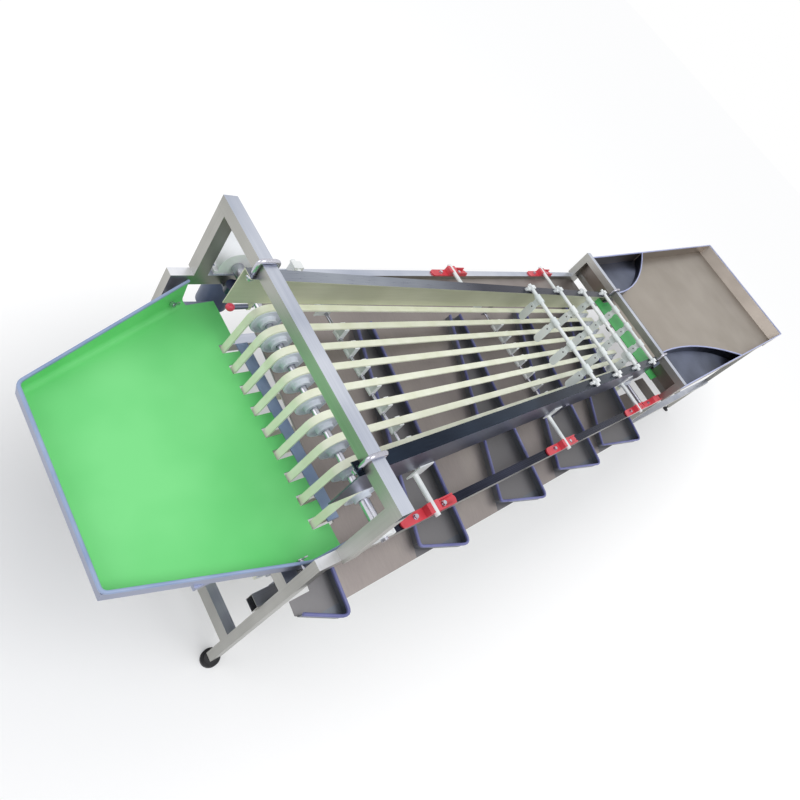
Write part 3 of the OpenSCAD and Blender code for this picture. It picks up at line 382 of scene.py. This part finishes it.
# %% Dress the CAD pieces
KNOB_FACE_X = 15
UPWARD = 0.8
for name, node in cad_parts.items():
    single = SINGLES.get(name, silicone)
    side, top = PAIRS.get(name, (single, single))
    node.data.materials.clear()
    node.data.materials.append(side)
    node.data.materials.append(top)
    for face in node.data.polygons:
        if name == "red_knob":
            on_shank = (node.matrix_world @ face.center).x > at(KNOB_FACE_X, 0, 0).x
            face.material_index = 1 if on_shank else 0
        else:
            face.material_index = 1 if face.normal.z > UPWARD else 0
    node.data.set_sharp_from_angle(angle=math.radians(32))
    node.data.polygons.foreach_set("use_smooth", [True] * len(node.data.polygons))
print("dressed", len(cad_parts), "CAD pieces")

# %% [markdown]
# ## Helpers for meshes
# Most pieces of this machine are either turned round an axis or pulled along a path. One helper does
# each, and both build plain meshes of quads. A third turns a mesh into a piece that rides on a body and,
# where it is told so, takes the place of a CAD piece.

# %% Helpers for meshes


def piece(name, corners, faces, finish, body, slot, *nodes):
    mesh = bpy.data.meshes.new(name)
    mesh.from_pydata([tuple(c) for c in corners], [], faces)
    mesh.update()
    mesh.materials.append(finish)
    mesh.polygons.foreach_set("use_smooth", [True] * len(mesh.polygons))
    mesh.set_sharp_from_angle(angle=math.radians(35))
    made = bpy.data.objects.new(name, mesh)
    bpy.context.scene.collection.objects.link(made)
    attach(made, body)
    if nodes:
        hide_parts(*nodes)
    return made


def pulled(path, up, outline, corners, faces):
    """Pulls a closed outline of (side, up) points in mm along a path, with mitred bends and flat ends."""
    first, size = len(corners), len(outline)
    up = Vector(up).normalized()
    for i, p in enumerate(path):
        ahead = path[min(i + 1, len(path) - 1)] - p
        behind = p - path[max(i - 1, 0)]
        ahead = ahead.normalized() if ahead.length > 1e-9 else behind.normalized()
        behind = behind.normalized() if behind.length > 1e-9 else ahead
        way = (ahead + behind).normalized()
        side = up.cross(way).normalized()
        stretch = 1 / max(0.3, way.dot(ahead))
        for a, b in outline:
            corners.append(p + side * (a * stretch / 1000) + up * (b / 1000))
    for i in range(len(path) - 1):
        for j in range(size):
            a, b = first + i * size + j, first + i * size + (j + 1) % size
            faces.append((a, b, b + size, a + size))
    faces.append(tuple(range(first + size - 1, first - 1, -1)))
    last = first + (len(path) - 1) * size
    faces.append(tuple(range(last, last + size)))


def turned(centre, axis, outline, corners, faces, steps=40):
    """Turns an open outline of (along, radius) points in mm round an axis."""
    axis = Vector(axis).normalized()
    a = axis.orthogonal().normalized()
    b = axis.cross(a)
    first, size = len(corners), len(outline)
    for k in range(steps):
        t = 2 * math.pi * k / steps
        out = a * math.cos(t) + b * math.sin(t)
        for along, radius in outline:
            corners.append(centre + axis * (along / 1000) + out * (radius / 1000))
    for k in range(steps):
        for j in range(size - 1):
            p, q = first + k * size + j, first + ((k + 1) % steps) * size + j
            faces.append((p, q, q + 1, p + 1))


# %% [markdown]
# ## Helpers for outlines and bends
# Rubber and bar never turn a sharp corner. One helper rounds the corners of a section, one eases the
# corners of a path in space, and two draw a curve or a short step between points of a flat drawing.

# %% Helpers for outlines and bends


def rounded(half_side, half_up, radius, steps=5):
    points = []
    for cx, cy, start in ((1, 1, 0), (-1, 1, 90), (-1, -1, 180), (1, -1, 270)):
        for k in range(steps):
            t = math.radians(start + 90 * k / (steps - 1))
            points.append((cx * (half_side - radius) + radius * math.cos(t),
                           cy * (half_up - radius) + radius * math.sin(t)))
    return points


def eased(points, radius, steps=5):
    """The path with each inner corner rounded, in the plane of its neighbours."""
    out = [points[0]]
    for before, p, after in zip(points, points[1:], points[2:]):
        reach = min(radius / 1000, (before - p).length * 0.45, (after - p).length * 0.45)
        a, b = p + (before - p).normalized() * reach, p + (after - p).normalized() * reach
        for k in range(steps + 1):
            t = k / steps
            out.append(a * (1 - t) ** 2 + p * (2 * t * (1 - t)) + b * t * t)
    return out + [points[-1]]


def toward(a, b, reach):
    length = math.dist(a, b)
    return a[0] + (b[0] - a[0]) * reach / length, a[1] + (b[1] - a[1]) * reach / length


def bend(a, b, c, steps=20):
    return [tuple(a[j] * (1 - t) ** 2 + 2 * b[j] * t * (1 - t) + c[j] * t * t for j in (0, 1))
            for t in [i / steps for i in range(steps + 1)]]


# %% [markdown]
# ## Where the belts run
# The nine belts are the grader itself: the gap between two of them grows from 36 mm at the feed end to
# 51 mm at the drive shaft. One helper gives the middle line of each belt, and the strip before the
# pulleys, the slots of the lining, the pulleys and the flaps are all placed by it.

# %% Belt lines
BELT_Y = -42
BELT_W = 23
DRIVE_X = 121
BELT_RUN = 2094
PITCH_WIDE = 73.6
PITCH_NARROW = 59.2
LANES = range(-4, 5)


def belt_pitch(x):
    return PITCH_WIDE - (PITCH_WIDE - PITCH_NARROW) * (x - DRIVE_X) / BELT_RUN


def belt_line(x, lane):
    return BELT_Y + lane * belt_pitch(x)


gaps = [round(belt_pitch(x) - BELT_W, 1) for x in (DRIVE_X, DRIVE_X + BELT_RUN)]
print("gaps between the belts at their two ends, mm:", gaps)

# %% [markdown]
# ## Rubber edging of the discharge tray
# Every sheet edge that fruit may touch wears a push-on rubber strip. Its section is a rounded bead. It
# is pulled along each rim as one closed mesh, with its corners eased as the real strip bends. A flat bare
# strip of the same rubber lies in front of the drive pulleys.

# %% Tray edging
TRAY_RIM = ((-92, 440, 96), (-535, 219, 45), (-535, -304, 45), (-110, -437, 45), (0, -431, 45))
STRIP_U, STRIP_HALF, STRIP_H = 18.7, 18, 1.5
bead = rounded(4, 5, 3.4)
up_tray = Vector((-math.sin(TRAY_TURN), 0, math.cos(TRAY_TURN)))
corners, faces = [], []
rim = eased([on_tray(u, y, h) for u, y, h in TRAY_RIM], 14, 8)
pulled(rim, up_tray, bead, corners, faces)
reach = max(LANES) * PITCH_WIDE + 12
strip = [on_tray(STRIP_U, BELT_Y + side * reach, STRIP_H) for side in (-1, 1)]
pulled(strip, up_tray, rounded(STRIP_HALF, STRIP_H, 1.2), corners, faces)
piece("tray_edging_rubber", corners, faces, tray_trim, "frame", "rubber_edging", "tray_edging")
print("tray rim, mm:", round(sum((b - a).length for a, b in zip(rim, rim[1:])) * 1000))

# %% [markdown]
# ## Edging of the chutes and spouts
# Each chute is a channel between two low walls, and its spout sticks out under the near rail. One strip
# runs down the left wall, round the spout's slanted front and up the right wall. The first chute has no
# left wall, so its strip starts on the front.

# %% Chute and spout edging
EDGE_H = 30
FIRST_STRIP_END = -420
START_GAP, LEFT_BEND, FRONT_BEND, RIGHT_BEND = 14, 12, 34, 30
wall_bead = rounded(4.5, 6, 3.8)
up_deck = Vector((0, -math.sin(DECK_TURN), math.cos(DECK_TURN)))
corners, faces = [], []
for k in OUTLETS:
    right = chute_right(k)
    left_corner, front_corner = (chute_left(k, LIP_LEFT_Y), LIP_LEFT_Y), (right, LIP_RIGHT_Y)
    left_end = (chute_left(k, CHUTE_FAR), CHUTE_FAR)
    right_end = (right, FIRST_STRIP_END if k == 0 else CHUTE_FAR)
    if k == 0:
        path = [toward(left_corner, front_corner, START_GAP)]
    else:
        path = [left_end] + bend(toward(left_corner, left_end, LEFT_BEND), left_corner,
                                 toward(left_corner, front_corner, LEFT_BEND), 3)
    path += bend(toward(front_corner, left_corner, FRONT_BEND), front_corner,
                 toward(front_corner, right_end, RIGHT_BEND), 6)
    path.append(right_end)
    pulled([on_deck(x, y, EDGE_H) for x, y in path], up_deck, wall_bead, corners, faces)
piece("chute_edging_rubber", corners, faces, indigo_trim, "frame", "rubber_edging", "chute_edging")
print("spouts edged:", len(OUTLETS))

# %% [markdown]
# ## Edging of the feed tray
# The same bead goes round the feed tray's walls and over the two curved baffles that lead the fruit to
# the belts. Each baffle is one smooth curve, so it is drawn with a single bend.

# %% Feed tray edging
TUBE = 40
FEED_RIM = 83
FEED_END, FEED_HALF = 2096, 485
up_feed = Vector((-math.sin(FEED_TURN), 0, math.cos(FEED_TURN)))

# The front wall stands 22 mm past the crossbar, and the baffles end 4 mm behind its line.
wall_u = (PORTAL_PITCH + TUBE + 22 - FEED_X) / math.cos(FEED_TURN)
throat_x = FEED_X + wall_u + 4
far_baffle = [(x - FEED_X, y) for x, y in bend((3100, 482), (2720, 170), (throat_x, 210))]
near_baffle = [(x - FEED_X, y) for x, y in bend((3400, -482), (2850, -215), (throat_x, -250))]
round_rim = [(wall_u, 214), (wall_u, FEED_HALF), (FEED_END, FEED_HALF), (FEED_END, -FEED_HALF),
             (wall_u, -FEED_HALF), (wall_u, -300)]
corners, faces = [], []
pulled(eased([on_feed(u, y, FEED_RIM) for u, y in round_rim], 8, 6), up_feed, bead, corners, faces)
for baffle in (far_baffle, near_baffle):
    pulled([on_feed(u, y, FEED_RIM) for u, y in baffle], up_feed, bead, corners, faces)
piece("feed_edging_rubber", corners, faces, lilac_trim, "frame", "rubber_edging", "feed_edging")
print("feed edging corners:", len(corners))

# %% [markdown]
# ## Corner sheets
# Behind each curved baffle lies a triangle of darker, smoother sheet laid over the corner of the feed
# tray, which darkens the corner. It rises a little towards the baffle, which makes it mirror the dark side
# of the baffle. Each is one thin closed mesh between the two walls and the baffle.

# %% Corner sheets
ALONG, ACROSS = 20, 6
ROW = ACROSS + 1
LAYER = (ALONG + 1) * ROW
SHEET_T, LOW_H, RISE, FULL_RISE_AT = 1.4, 2.4, 26, 120
WALL_Y, BAFFLE_GAP = 484, 1.6
corners, faces = [], []
for baffle, side in ((far_baffle, 1), (near_baffle, -1)):
    back, front = baffle[0], baffle[-1]
    wall = [(back[0] + (front[0] - back[0]) * i / ALONG, side * WALL_Y) for i in range(ALONG + 1)]
    first = len(corners)
    for drop in (SHEET_T, 0):
        for (u0, y0), (u1, y1) in zip(baffle, wall):
            for s in range(ROW):
                t = s / ACROSS
                h = LOW_H + RISE * (1 - t) ** 2 * min(1.0, abs(y1 - y0) / FULL_RISE_AT)
                start = y0 + side * BAFFLE_GAP
                corners.append(on_feed(u0 + (u1 - u0) * t, start + (y1 - start) * t, h - drop))
    for layer in (0, 1):
        for i in range(ALONG):
            for s in range(ACROSS):
                a = first + layer * LAYER + i * ROW + s
                b = a + ROW
                faces.append((a, b, b + 1, a + 1) if layer else (a, a + 1, b + 1, b))
    ring = [i * ROW for i in range(ALONG + 1)] + [ALONG * ROW + s for s in range(1, ROW)] \
        + [i * ROW + ACROSS for i in range(ALONG - 1, -1, -1)] + list(range(ACROSS - 1, 0, -1))
    for a, b in zip(ring, ring[1:] + ring[:1]):
        faces.append((first + a, first + b, first + LAYER + b, first + LAYER + a))
piece("feed_corner_sheets", corners, faces, baffle_sheet, "frame", "sheet_steel")
print("corner sheets:", 2, "with", len(faces), "faces")

# %% [markdown]
# ## Green lining of the discharge tray
# Soft sheet lines the tray so the fruit doesn't bruise. It lies on the floor, coves up into the walls
# and ends under the edging. Nine slots leave room for the belts. The lining is built from three strips:
# a slotted floor, a cove and a wall, all on one set of rim points.

# %% Floor of the lining
RIM_LINE = ((-91.4, 438.8), (-533.8, 218.4), (-533.8, -303.1), (-110, -435.8), (-0.2, -429.8))
WALL_TOPS = (90.5, 39.5, 39.5, 39.5, 39.5)
COVE = 16.0
COVE_STEPS = 6
LINING_T, LINING_LOW = 3, 0.2
SLOT_HALF, SLOT_DEPTH = 16, 51
FRONT_U, FAR_CORNER_Y = -0.2, 430.4
floor_line = [(u + du, y + dy) for (u, y), (du, dy) in
              zip(RIM_LINE, ((6, -COVE), (COVE, -7), (COVE, 9), (3, COVE), (0, COVE)))]
slots = []
for lane in LANES:
    y = belt_line(TRAY_X - SLOT_DEPTH / 2, lane)
    slots += [(FRONT_U, y - SLOT_HALF), (-SLOT_DEPTH, y - SLOT_HALF), (-SLOT_DEPTH, y + SLOT_HALF),
              (FRONT_U, y + SLOT_HALF)]
outline = floor_line + slots + [(FRONT_U, FAR_CORNER_Y)]
size = len(outline)
corners = [on_tray(u, y, h) for h in (LINING_T, LINING_LOW) for u, y in outline]
faces = [tuple(range(size)), tuple(range(2 * size - 1, size - 1, -1))]
for i in range(size):
    j = (i + 1) % size
    faces.append((i, i + size, j + size, j))
print("slots in the lining:", len(slots) // 4)

# %% Cove and walls of the lining
base, width = len(corners), COVE_STEPS + 2
for (u0, y0), (u1, y1), top in zip(floor_line, RIM_LINE, WALL_TOPS):
    for s in range(COVE_STEPS + 1):
        t = math.pi / 2 * s / COVE_STEPS
        corners.append(on_tray(u0 + (u1 - u0) * math.sin(t), y0 + (y1 - y0) * math.sin(t),
                               LINING_T + COVE * (1 - math.cos(t))))
    corners.append(on_tray(u1, y1, top))
for i in range(len(RIM_LINE) - 1):
    for j in range(width - 1):
        a = base + i * width + j
        faces.append((a, a + width, a + width + 1, a + 1))
piece("green_lining", corners, faces, lining, "frame", "green_mat", "tray_mat")
print("lining faces:", len(faces))

# %% [markdown]
# ## U-bolts
# Each side plate hangs from the crossbars on U-bolts: round bar bent over the tube, with a nut on each
# leg under the flange. The bend makes them look right, so the bar is pulled along a U.

# %% U-bolts
BAR_R, BAR_STEPS = 7, 18
LEG_GAP = 8
LEG_BELOW, NUT_BELOW = 24, 16
DISCHARGE_TOP, FEED_DROP = 1080, 112
PLATE_WIDE, PLATE_NARROW, FLANGE_MIDDLE = 312, 256, 20
NUT = [(0, 7), (0, 11.5), (1, 12), (7, 12), (8, 11), (8, 7)]
corners, faces = [], []
angles = [2 * math.pi * i / BAR_STEPS for i in range(BAR_STEPS)]
bar = [(BAR_R * math.cos(a), BAR_R * math.sin(a)) for a in angles]
for x, top in ((0, DISCHARGE_TOP), (PORTAL_PITCH, DISCHARGE_TOP - FEED_DROP)):
    half = PLATE_WIDE - x * (PLATE_WIDE - PLATE_NARROW) / PORTAL_PITCH
    legs = (x - LEG_GAP, x + TUBE + LEG_GAP)
    for side in (-1, 1):
        y = BELT_Y + side * (half - FLANGE_MIDDLE)
        low, high = top - TUBE - LEG_BELOW, top + LEG_GAP
        path = [at(legs[0], y, low), at(legs[0], y, high), at(legs[1], y, high), at(legs[1], y, low)]
        pulled(eased(path, 14, 10), (0, 1, 0), bar, corners, faces)
        for leg_x in legs:
            turned(at(leg_x, y, top - TUBE - NUT_BELOW), (0, 0, 1), NUT, corners, faces, 6)
piece("u_bolts_bent", corners, faces, bright_steel, "frame", "bright_steel", "plate_u_bolts")
print("U-bolt faces:", len(faces))

# %% [markdown]
# ## Pulleys
# Flat-faced pulleys are turned from cast nylon, nine on each of four shafts. Each has a running face with
# eased edges, a hollowed web, and a hub on one side. The turned outline shows all of this, and the three
# idler shafts are turned too, with a small chamfer at their ends.

# %% Pulleys
PULLEY = [(-12.5, 12), (-24, 12), (-24.5, 24), (-23.5, 25), (-12, 25), (-9, 28), (-9, 42), (-12.2, 44),
          (-12.5, 49), (-11.5, 50), (11.5, 50), (12.5, 49), (12.2, 44), (9, 42), (9, 16), (12, 14),
          (12, 11.2)]
DRIVE_Z = 833
FEED_ROLL_X = DRIVE_X + BELT_RUN
IDLERS = (("low_discharge_pulleys", 59, 380, 408, "low_discharge_roll", "lower_discharge_idler"),
          ("low_feed_pulleys", FEED_ROLL_X, 420, 408, "low_feed_roll", "lower_feed_idler"),
          ("high_feed_pulleys", FEED_ROLL_X, 723, 460, "high_feed_roll", "upper_feed_idler"))
SHAFT_R, CHAMFER = 11, 1
ACROSS_BELTS = (0, 1, 0)


def pulley_set(name, x, z, body, *nodes):
    corners, faces = [], []
    for lane in LANES:
        turned(at(x, belt_line(x, lane), z), ACROSS_BELTS, PULLEY, corners, faces, 48)
    return piece(name, corners, faces, nylon, body, "white_plastic", *nodes)


pulley_set("drive_pulleys_turned", DRIVE_X, DRIVE_Z, "drive", "drive_pulleys")
for name, x, z, half, body, node in IDLERS:
    pulley_set(name, x, z, body, node)
    corners, faces = [], []
    rod = [(-half, 0.1), (-half, SHAFT_R - CHAMFER), (CHAMFER - half, SHAFT_R), (half - CHAMFER, SHAFT_R),
           (half, SHAFT_R - CHAMFER), (half, 0.1)]
    turned(at(x, 0, z), ACROSS_BELTS, rod, corners, faces, 32)
    piece(name + "_shaft", corners, faces, bright_steel, body, "bright_steel")
print("pulleys:", len(LANES) * (len(IDLERS) + 1))

# %% [markdown]
# ## Flaps
# Each flap hangs from a split collar on a white rod. A neck widens into a rounded tongue, which is thin
# and soft so that it combs the fruit. The outline is drawn once and thickened, then its edges are eased
# with a bevel. A dark screw holds the tongue to the neck.

# %% Flap outlines
TONGUE_R, TONGUE_LOW = 19, -117
COLLAR = [(-20, 9.2), (-21.4, 10), (-21.4, 14), (-20.4, 15), (-5, 15), (-4, 14.2), (4, 14.2), (5, 15),
          (20.4, 15), (21.4, 14), (21.4, 10), (20, 9.2)]
NECK = [(-15, -11), (-14, -60), (-12, -62), (12, -62), (14, -60), (15, -11)]
TONGUE = [(-TONGUE_R, -40), (-TONGUE_R, TONGUE_LOW)]
TONGUE += [(-TONGUE_R * math.cos(t), TONGUE_LOW - TONGUE_R * math.sin(t))
           for t in [math.pi * i / 12 for i in range(1, 12)]]
TONGUE += [(TONGUE_R, TONGUE_LOW), (TONGUE_R, -40), (14, -36), (-14, -36)]
SCREW = [(0, 3.5), (0.05, 3.4), (0.1, 0.1)]
SCREW_AT = Vector((-7.4, 0, -48)) / 1000
NECK_X, TONGUE_X = (-3, 3), (-7, -3)


def hanging_plate(centre, outline, x0, x1, corners, faces):
    first, n = len(corners), len(outline)
    for x in (x0, x1):
        for y, z in outline:
            corners.append(centre + Vector((x, y, z)) / 1000)
    faces.append(tuple(range(first, first + n)))
    faces.append(tuple(range(first + 2 * n - 1, first + n - 1, -1)))
    for i in range(n):
        j = (i + 1) % n
        faces.append((first + j, first + i, first + i + n, first + j + n))


print("points in a tongue:", len(TONGUE))

# %% Flaps
ROWS = {"a": (1378, (3, 1, -1, -3)), "b": (1647, (2, 0, -2)), "c": (1916, (3, 1, -1, -3)),
        "d": (2185, (2, 0, -2))}
ROD_RISE = 10.7
for row, (x, lanes) in ROWS.items():
    rod_z = DISCHARGE_TOP - TUBE - x * FEED_DROP / PORTAL_PITCH + ROD_RISE
    for i, lane in enumerate(lanes):
        name = f"flap_{row}{i + 1}"
        centre = at(x, belt_line(x, lane), rod_z)
        corners, faces = [], []
        turned(centre, ACROSS_BELTS, COLLAR, corners, faces, 32)
        hanging_plate(centre, NECK, *NECK_X, corners, faces)
        hanging_plate(centre, TONGUE, *TONGUE_X, corners, faces)
        made = piece(name + "_moulded", corners, faces, silicone, name + "_body", "flap_silicone", name)
        ease = made.modifiers.new("ease", "BEVEL")
        ease.width, ease.segments, ease.limit_method = 0.0012, 2, "ANGLE"
        corners, faces = [], []
        turned(centre + SCREW_AT, (-1, 0, 0), SCREW, corners, faces, 20)
        piece(name + "_screw", corners, faces, black_rubber, name + "_body", "bright_steel")
print("flaps:", sum(len(lanes) for x, lanes in ROWS.values()))

# %% [markdown]
# ## Floor
# A pale floor keeps the machine's shadow. It glows more the further it is from the machine, so the
# picture's ground is white, and less under the machine, which is painted shade that keeps the gaps between
# the belts dark. Only what is seen straight, in a mirror or through a clear piece glows: the light that the
# floor throws back on the machine stays real.

# %% Floor
FLOOR_HALF = 90

# The glow grows round an oval whose half axes are 2.6 and 0.75 m long.
GLOW_REACH = (1 / 2.6, 1 / 0.75, 0)


def seen_by_eye(tree):
    path = add(tree, "ShaderNodeLightPath")
    mirrored = add(tree, "ShaderNodeMath", {"operation": "MAXIMUM"}, i0=path.outputs["Is Camera Ray"],
                   i1=path.outputs["Is Glossy Ray"])
    return add(tree, "ShaderNodeMath", {"operation": "MAXIMUM"}, i0=mirrored.outputs[0],
               i1=path.outputs["Is Transmission Ray"]).outputs[0]


floor_mesh = bpy.data.meshes.new("floor")
ground = [(x * FLOOR_HALF, y * FLOOR_HALF, 0) for x, y in ((-1, -1), (1, -1), (1, 1), (-1, 1))]
floor_mesh.from_pydata(ground, [], [(0, 1, 2, 3)])
floor_piece = bpy.data.objects.new("floor", floor_mesh)
bpy.context.scene.collection.objects.link(floor_piece)
paint = bpy.data.materials.new("pale floor paint")
paint.use_nodes = True
tree = paint.node_tree
tree.nodes.clear()
shadowed = add(tree, "ShaderNodeBsdfDiffuse", Color=linear("#f4f4f4"))
white = add(tree, "ShaderNodeEmission", Color=linear("#ffffff"), Strength=1.15)
where = add(tree, "ShaderNodeVectorMath", {"operation": "MULTIPLY"},
            i0=add(tree, "ShaderNodeTexCoord").outputs["Object"], i1=GLOW_REACH)
away = add(tree, "ShaderNodeVectorMath", {"operation": "LENGTH"}, i0=where.outputs[0])
# Less glow near the machine is painted shade, seen through the gaps between the belts.
glow = add(tree, "ShaderNodeMapRange", Value=away.outputs["Value"], From_Min=0.9, From_Max=1.7, To_Min=0.12,
           To_Max=0.7)
share = add(tree, "ShaderNodeMath", {"operation": "MULTIPLY"}, i0=seen_by_eye(tree), i1=glow.outputs[0])
mix = add(tree, "ShaderNodeMixShader", i0=share.outputs[0], i1=shadowed.outputs[0], i2=white.outputs[0])
add(tree, "ShaderNodeOutputMaterial", i0=mix.outputs[0])
floor_mesh.materials.append(paint)
print("floor, m across:", 2 * FLOOR_HALF)

# %% [markdown]
# ## Light
# A white room gives soft daylight from all round. A broad lamp above and a weaker one from the side give
# the steel its greys and the machine its shadow. The eye sees the room as plain white.

# %% Light
LAMP_AIM = Vector((0, 0, 0.7))
world = bpy.data.worlds.new("white room")
bpy.context.scene.world = world
world.use_nodes = True
tree = world.node_tree
tree.nodes.clear()
room = add(tree, "ShaderNodeBackground", Color=linear("#f2f4f8"), Strength=0.72)
white = add(tree, "ShaderNodeBackground", Color=linear("#ffffff"), Strength=1.0)
mix = add(tree, "ShaderNodeMixShader", i0=seen_by_eye(tree), i1=room.outputs[0], i2=white.outputs[0])
add(tree, "ShaderNodeOutputWorld", i0=mix.outputs[0])


def lamp(name, place, size, power):
    light = bpy.data.lights.new(name, "AREA")
    light.size, light.energy = size, power
    made = bpy.data.objects.new(name, light)
    bpy.context.scene.collection.objects.link(made)
    made.location = place
    made.rotation_mode = "QUATERNION"
    made.rotation_quaternion = (LAMP_AIM - Vector(place)).to_track_quat("-Z", "Y")


lamp("broad lamp", (-1.5, -2.5, 5.5), 4.0, 150)
lamp("side lamp", (-5.5, 2.5, 3.0), 3.0, 45)
print("lamps:", len(bpy.data.lights))
